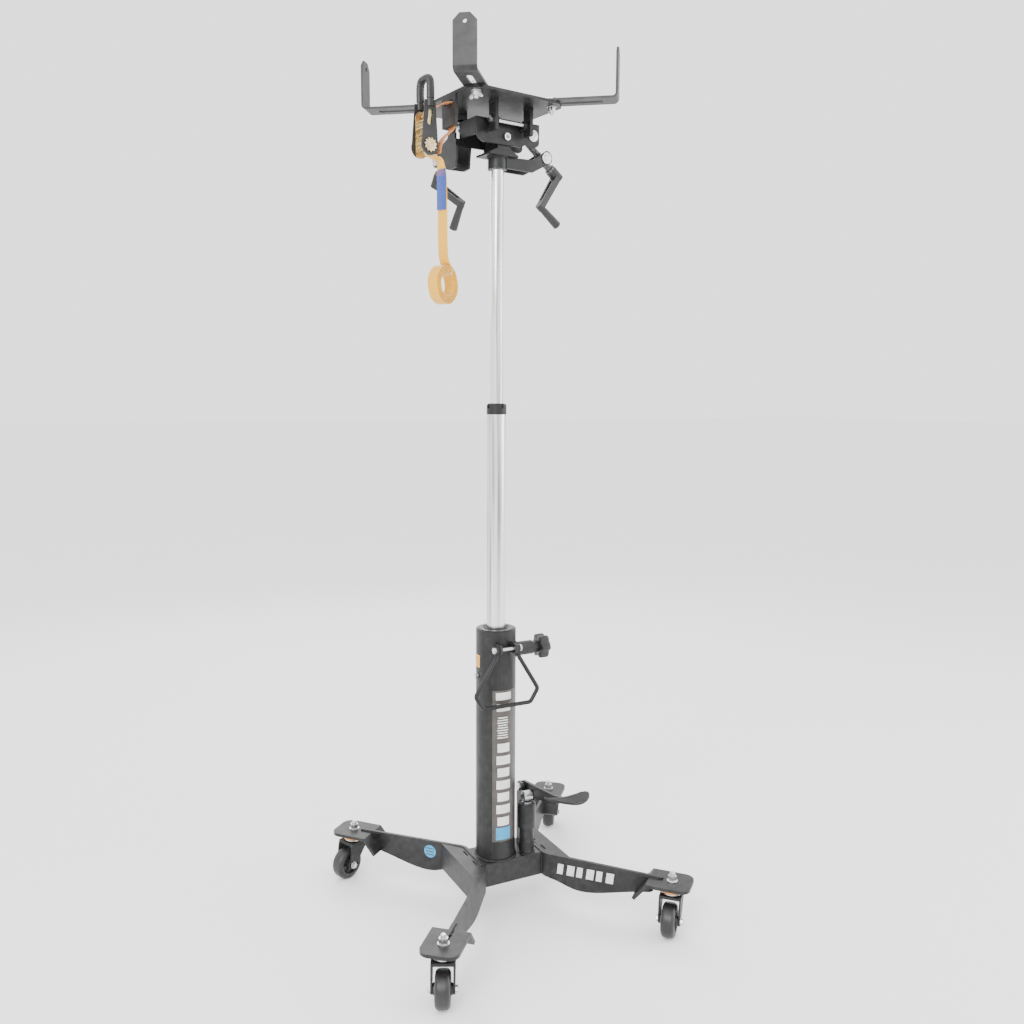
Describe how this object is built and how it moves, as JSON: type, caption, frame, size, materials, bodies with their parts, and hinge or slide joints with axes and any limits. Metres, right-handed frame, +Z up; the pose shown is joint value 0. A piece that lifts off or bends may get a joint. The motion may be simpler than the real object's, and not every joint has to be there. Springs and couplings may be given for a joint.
{
  "type": "transmission jack",
  "caption": "Tall telescopic transmission jack: splayed base on swivel casters, foot pump, chromed ram, crank-tilted saddle with slotted corner arms and a ratchet strap.",
  "frame": {"origin": "on the floor, on the axis of the ram", "axes": "+Z up along the ram, +X across the base to the viewer's right, +Y to the back; the foot pedal reaches towards -Y"},
  "size_m": [0.7078, 0.7303, 2.0203],
  "materials": {
    "powder_black": "satin black powder coat",
    "hard_chrome": "ground hard chrome with oil streaks",
    "bright_zinc": "bright zinc plate",
    "oiled_steel": "blackened and oiled steel",
    "spring_steel": "oiled spring steel",
    "yellow_zinc": "yellow zinc plate",
    "wheel_nylon": "moulded black nylon",
    "orange_seal": "moulded orange seal",
    "black_plastic": "fine textured black plastic",
    "orange_webbing": "woven polyester webbing"
  },
  "bodies": {
    "base": {"base_box": "powder_black", "leg_plate_left": "powder_black", "leg_plate_right": "powder_black", "leg_braces": "powder_black", "caster_plates": "powder_black", "caster_stems": "bright_zinc", "swivel_seals": "orange_seal", "cylinder_tube": "powder_black", "cylinder_gland": "powder_black", "release_valve_body": "powder_black", "handle_pin": "bright_zinc", "filler_plug": "bright_zinc", "pump_body": "powder_black", "lever_post": "powder_black", "lever_pin": "bright_zinc", "return_spring": "spring_steel"},
    "fork_front_left": {"caster_fork_front_left": "powder_black", "caster_axle_front_left": "bright_zinc"},
    "wheel_front_left": {"caster_wheel_front_left": "wheel_nylon"},
    "fork_front_right": {"caster_fork_front_right": "powder_black", "caster_axle_front_right": "bright_zinc"},
    "wheel_front_right": {"caster_wheel_front_right": "wheel_nylon"},
    "fork_rear_left": {"caster_fork_rear_left": "powder_black", "caster_axle_rear_left": "bright_zinc"},
    "wheel_rear_left": {"caster_wheel_rear_left": "wheel_nylon"},
    "fork_rear_right": {"caster_fork_rear_right": "powder_black", "caster_axle_rear_right": "bright_zinc"},
    "wheel_rear_right": {"caster_wheel_rear_right": "wheel_nylon"},
    "ram_lower": {"ram_stage_1": "hard_chrome", "stage_1_collar": "powder_black"},
    "ram_upper": {"ram_stage_2": "hard_chrome"},
    "release_knob": {"release_knob": "black_plastic"},
    "carry_handle": {"carry_handle": "powder_black"},
    "pedal": {"pedal_lever": "powder_black"},
    "pedal_roller": {"pedal_roller": "bright_zinc"},
    "plunger": {"pump_plunger": "hard_chrome", "plunger_sleeve": "powder_black"},
    "head": {"head_socket": "powder_black", "tilt_bolt": "bright_zinc"},
    "tilt_frame": {"tilt_frame": "powder_black", "hinge_rod": "bright_zinc"},
    "side_lower_trunnion": {"side_lower_trunnion": "bright_zinc"},
    "side_upper_trunnion": {"side_upper_trunnion": "bright_zinc"},
    "side_crank": {"side_tilt_screw": "oiled_steel", "side_crank": "black_plastic"},
    "saddle": {"saddle_plate": "powder_black", "wing_bolts": "bright_zinc", "ratchet_frame": "yellow_zinc", "strap_tail": "orange_webbing", "strap_roll": "orange_webbing"},
    "fore_lower_trunnion": {"fore_lower_trunnion": "bright_zinc"},
    "fore_upper_trunnion": {"fore_upper_trunnion": "bright_zinc"},
    "fore_crank": {"fore_tilt_screw": "oiled_steel", "fore_crank": "black_plastic"},
    "arm_front_left": {"corner_arm_front_left": "powder_black"},
    "arm_front_right": {"corner_arm_front_right": "powder_black"},
    "arm_rear_left": {"corner_arm_rear_left": "powder_black"},
    "arm_rear_right": {"corner_arm_rear_right": "powder_black"},
    "ratchet_handle": {"ratchet_handle": "black_plastic"},
    "ratchet_spool": {"ratchet_spool": "yellow_zinc"}
  },
  "joints": [
    {"name": "caster_swivel_front_left", "type": "hinge", "parent": "base", "child": "fork_front_left", "pos_m": [-0.268, -0.301, 0.105], "axis": [0, 0, 1], "continuous": true},
    {"name": "wheel_roll_front_left", "type": "hinge", "parent": "fork_front_left", "child": "wheel_front_left", "pos_m": [-0.28027, -0.32617, 0.04], "axis": [0.8988, -0.4384, 0], "continuous": true},
    {"name": "caster_swivel_front_right", "type": "hinge", "parent": "base", "child": "fork_front_right", "pos_m": [0.32, -0.301, 0.105], "axis": [0, 0, 1], "continuous": true},
    {"name": "wheel_roll_front_right", "type": "hinge", "parent": "fork_front_right", "child": "wheel_front_right", "pos_m": [0.29986, -0.32045, 0.04], "axis": [0.6947, -0.7193, 0], "continuous": true},
    {"name": "caster_swivel_rear_left", "type": "hinge", "parent": "base", "child": "fork_rear_left", "pos_m": [-0.268, 0.301, 0.105], "axis": [0, 0, 1], "continuous": true},
    {"name": "wheel_roll_rear_left", "type": "hinge", "parent": "fork_rear_left", "child": "wheel_rear_left", "pos_m": [-0.29338, 0.28917, 0.04], "axis": [0.4226, -0.9063, 0], "continuous": true},
    {"name": "caster_swivel_rear_right", "type": "hinge", "parent": "base", "child": "fork_rear_right", "pos_m": [0.32, 0.301, 0.105], "axis": [0, 0, 1], "continuous": true},
    {"name": "wheel_roll_rear_right", "type": "hinge", "parent": "fork_rear_right", "child": "wheel_rear_right", "pos_m": [0.33484, 0.32475, 0.04], "axis": [-0.848, 0.5299, 0], "continuous": true},
    {"name": "ram_lower_slide", "type": "slide", "parent": "base", "child": "ram_lower", "axis": [0, 0, 1], "range_m": [-0.51, 0]},
    {"name": "ram_upper_slide", "type": "slide", "parent": "ram_lower", "child": "ram_upper", "axis": [0, 0, 1], "range_m": [-0.53, 0]},
    {"name": "release_knob_turn", "type": "hinge", "parent": "base", "child": "release_knob", "pos_m": [0.1, -0.014, 0.65], "axis": [1, 0, 0], "range_deg": [0, 180]},
    {"name": "carry_handle_swing", "type": "hinge", "parent": "base", "child": "carry_handle", "pos_m": [0, -0.062, 0.666], "axis": [-1, 0, 0], "range_deg": [0, 150]},
    {"name": "pedal_press", "type": "hinge", "parent": "base", "child": "pedal", "pos_m": [0.089, 0.016, 0.283], "axis": [1, 0, 0], "range_deg": [0, 22], "stiffness_Nm_per_rad": 12, "springref_deg": -25.78},
    {"name": "plunger_stroke", "type": "slide", "parent": "base", "child": "plunger", "axis": [0, 0, -1], "range_m": [0, 0.0175], "deforming": ["return_spring"]},
    {"name": "roller_turn", "type": "hinge", "parent": "pedal", "child": "pedal_roller", "pos_m": [0.0731, -0.029, 0.2764], "axis": [1, 0, 0], "continuous": true},
    {"name": "head_swivel", "type": "hinge", "parent": "ram_upper", "child": "head", "pos_m": [0, 0, 1.79], "axis": [0, 0, 1], "continuous": true},
    {"name": "side_tilt", "type": "hinge", "parent": "head", "child": "tilt_frame", "pos_m": [0, 0, 1.84], "axis": [-0.1392, 0.9903, 0], "range_deg": [-7.5, 7.5]},
    {"name": "side_lower_trunnion_turn", "type": "hinge", "parent": "head", "child": "side_lower_trunnion", "pos_m": [0.12428, 0.01747, 1.8146], "axis": [-0.1392, 0.9903, 0], "range_deg": [-7.5, 7.5]},
    {"name": "side_crank_spin", "type": "hinge", "parent": "side_lower_trunnion", "child": "side_crank", "pos_m": [0.12428, 0.01747, 1.8146], "axis": [0.7902, 0.1111, -0.6027], "range_deg": [-654, 654]},
    {"name": "side_upper_trunnion_turn", "type": "hinge", "parent": "tilt_frame", "child": "side_upper_trunnion", "pos_m": [0.07328, 0.0103, 1.8535], "axis": [-0.1392, 0.9903, 0], "range_deg": [-13.5, 13.5]},
    {"name": "fore_tilt", "type": "hinge", "parent": "tilt_frame", "child": "saddle", "pos_m": [0.00724, -0.05149, 1.868], "axis": [0.9903, 0.1392, 0], "range_deg": [-6, 6]},
    {"name": "fore_lower_trunnion_turn", "type": "hinge", "parent": "tilt_frame", "child": "fore_lower_trunnion", "pos_m": [-0.08772, 0.10683, 1.806], "axis": [0.9903, 0.1392, 0], "range_deg": [-6, 6]},
    {"name": "fore_crank_spin", "type": "hinge", "parent": "fore_lower_trunnion", "child": "fore_crank", "pos_m": [-0.08772, 0.10683, 1.806], "axis": [-0.079, 0.562, -0.8234], "range_deg": [-989, 989]},
    {"name": "fore_upper_trunnion_turn", "type": "hinge", "parent": "saddle", "child": "fore_upper_trunnion", "pos_m": [-0.08062, 0.05633, 1.88], "axis": [0.9903, 0.1392, 0], "range_deg": [-10, 10]},
    {"name": "arm_slide_front_left", "type": "slide", "parent": "saddle", "child": "arm_front_left", "axis": [-0.6018, -0.7986, 0], "range_m": [-0.039, 0.049]},
    {"name": "arm_slide_front_right", "type": "slide", "parent": "saddle", "child": "arm_front_right", "axis": [0.7986, -0.6018, 0], "range_m": [-0.077, 0.011]},
    {"name": "arm_slide_rear_left", "type": "slide", "parent": "saddle", "child": "arm_rear_left", "axis": [-0.7986, 0.6018, 0], "range_m": [-0.08, 0.008]},
    {"name": "arm_slide_rear_right", "type": "slide", "parent": "saddle", "child": "arm_rear_right", "axis": [0.6018, 0.7986, 0], "range_m": [-0.074, 0.014]},
    {"name": "ratchet_lever", "type": "hinge", "parent": "saddle", "child": "ratchet_handle", "pos_m": [-0.1927, -0.03718, 1.796], "axis": [-0.1392, 0.9903, 0], "range_deg": [-120, 0]},
    {"name": "ratchet_spool_turn", "type": "hinge", "parent": "saddle", "child": "ratchet_spool", "pos_m": [-0.1927, -0.03718, 1.796], "axis": [-0.1392, 0.9903, 0], "continuous": true}
  ],
  "couplings": [
    {"joint": "plunger_stroke", "follows": "pedal_press", "m_per_rad": 0.045},
    {"joint": "side_crank_spin", "follows": "side_tilt", "ratio": -86.981},
    {"joint": "side_lower_trunnion_turn", "follows": "side_tilt", "ratio": -0.78883},
    {"joint": "side_upper_trunnion_turn", "follows": "side_tilt", "ratio": -1.7888},
    {"joint": "fore_crank_spin", "follows": "fore_tilt", "ratio": 164.61},
    {"joint": "fore_lower_trunnion_turn", "follows": "fore_tilt", "ratio": -0.64145},
    {"joint": "fore_upper_trunnion_turn", "follows": "fore_tilt", "ratio": -1.6415}
  ]
}
